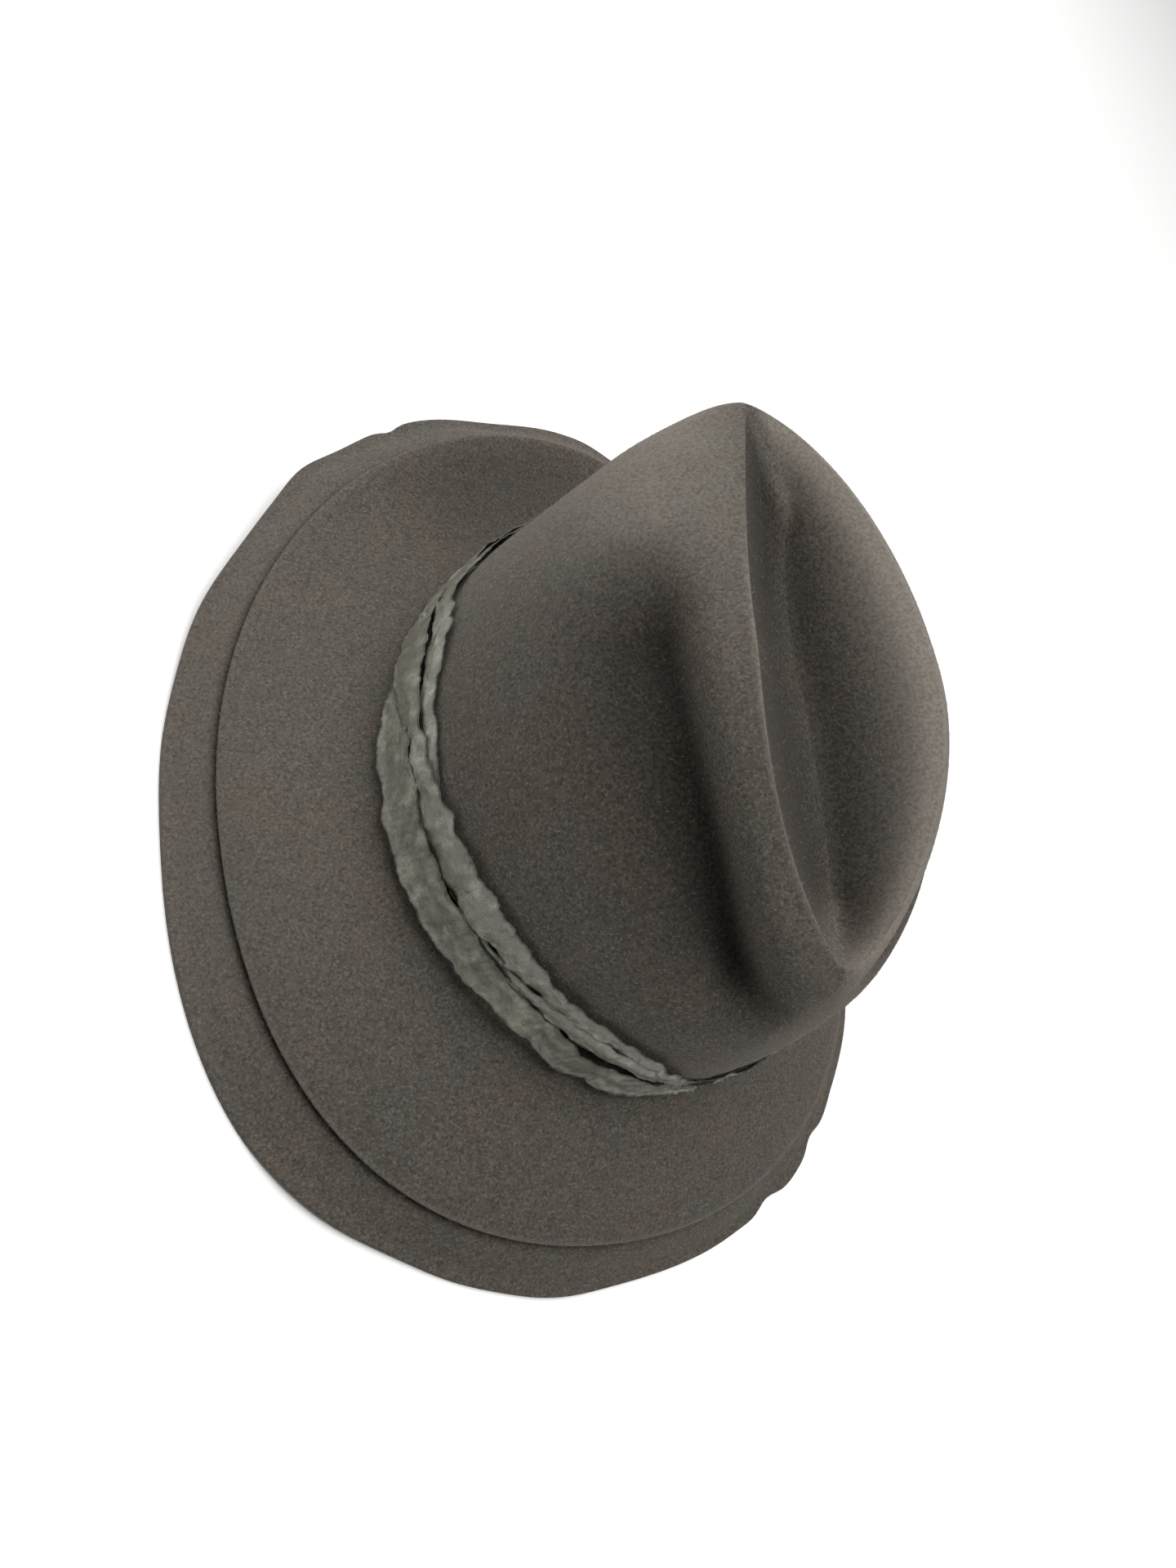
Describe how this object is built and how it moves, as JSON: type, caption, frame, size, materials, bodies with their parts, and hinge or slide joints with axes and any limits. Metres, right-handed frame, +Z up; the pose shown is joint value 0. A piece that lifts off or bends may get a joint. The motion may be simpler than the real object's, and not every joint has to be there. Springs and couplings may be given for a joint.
{
  "type": "felt hat with a creased crown and a satin trim",
  "caption": "Soft felt hat with a pinched, creased crown, a stepped down-sloping brim turned up at the back and a crinkled satin trim, resting on its brim.",
  "frame": {"origin": "on the floor, below the middle of the hat's outline", "axes": "+Z up, -Y towards the front of the hat, +X towards the wearer's left"},
  "size_m": [0.2926, 0.3244, 0.1561],
  "materials": {
    "felt": "brushed fur felt with a short nap, warm dark grey",
    "satin": "crinkled greyish olive satin with raw edges"
  },
  "bodies": {
    "root": {"felt_body": "felt", "ribbon_upper": "satin", "ribbon_fold": "satin", "ribbon_lower": "satin"}
  },
  "joints": []
}
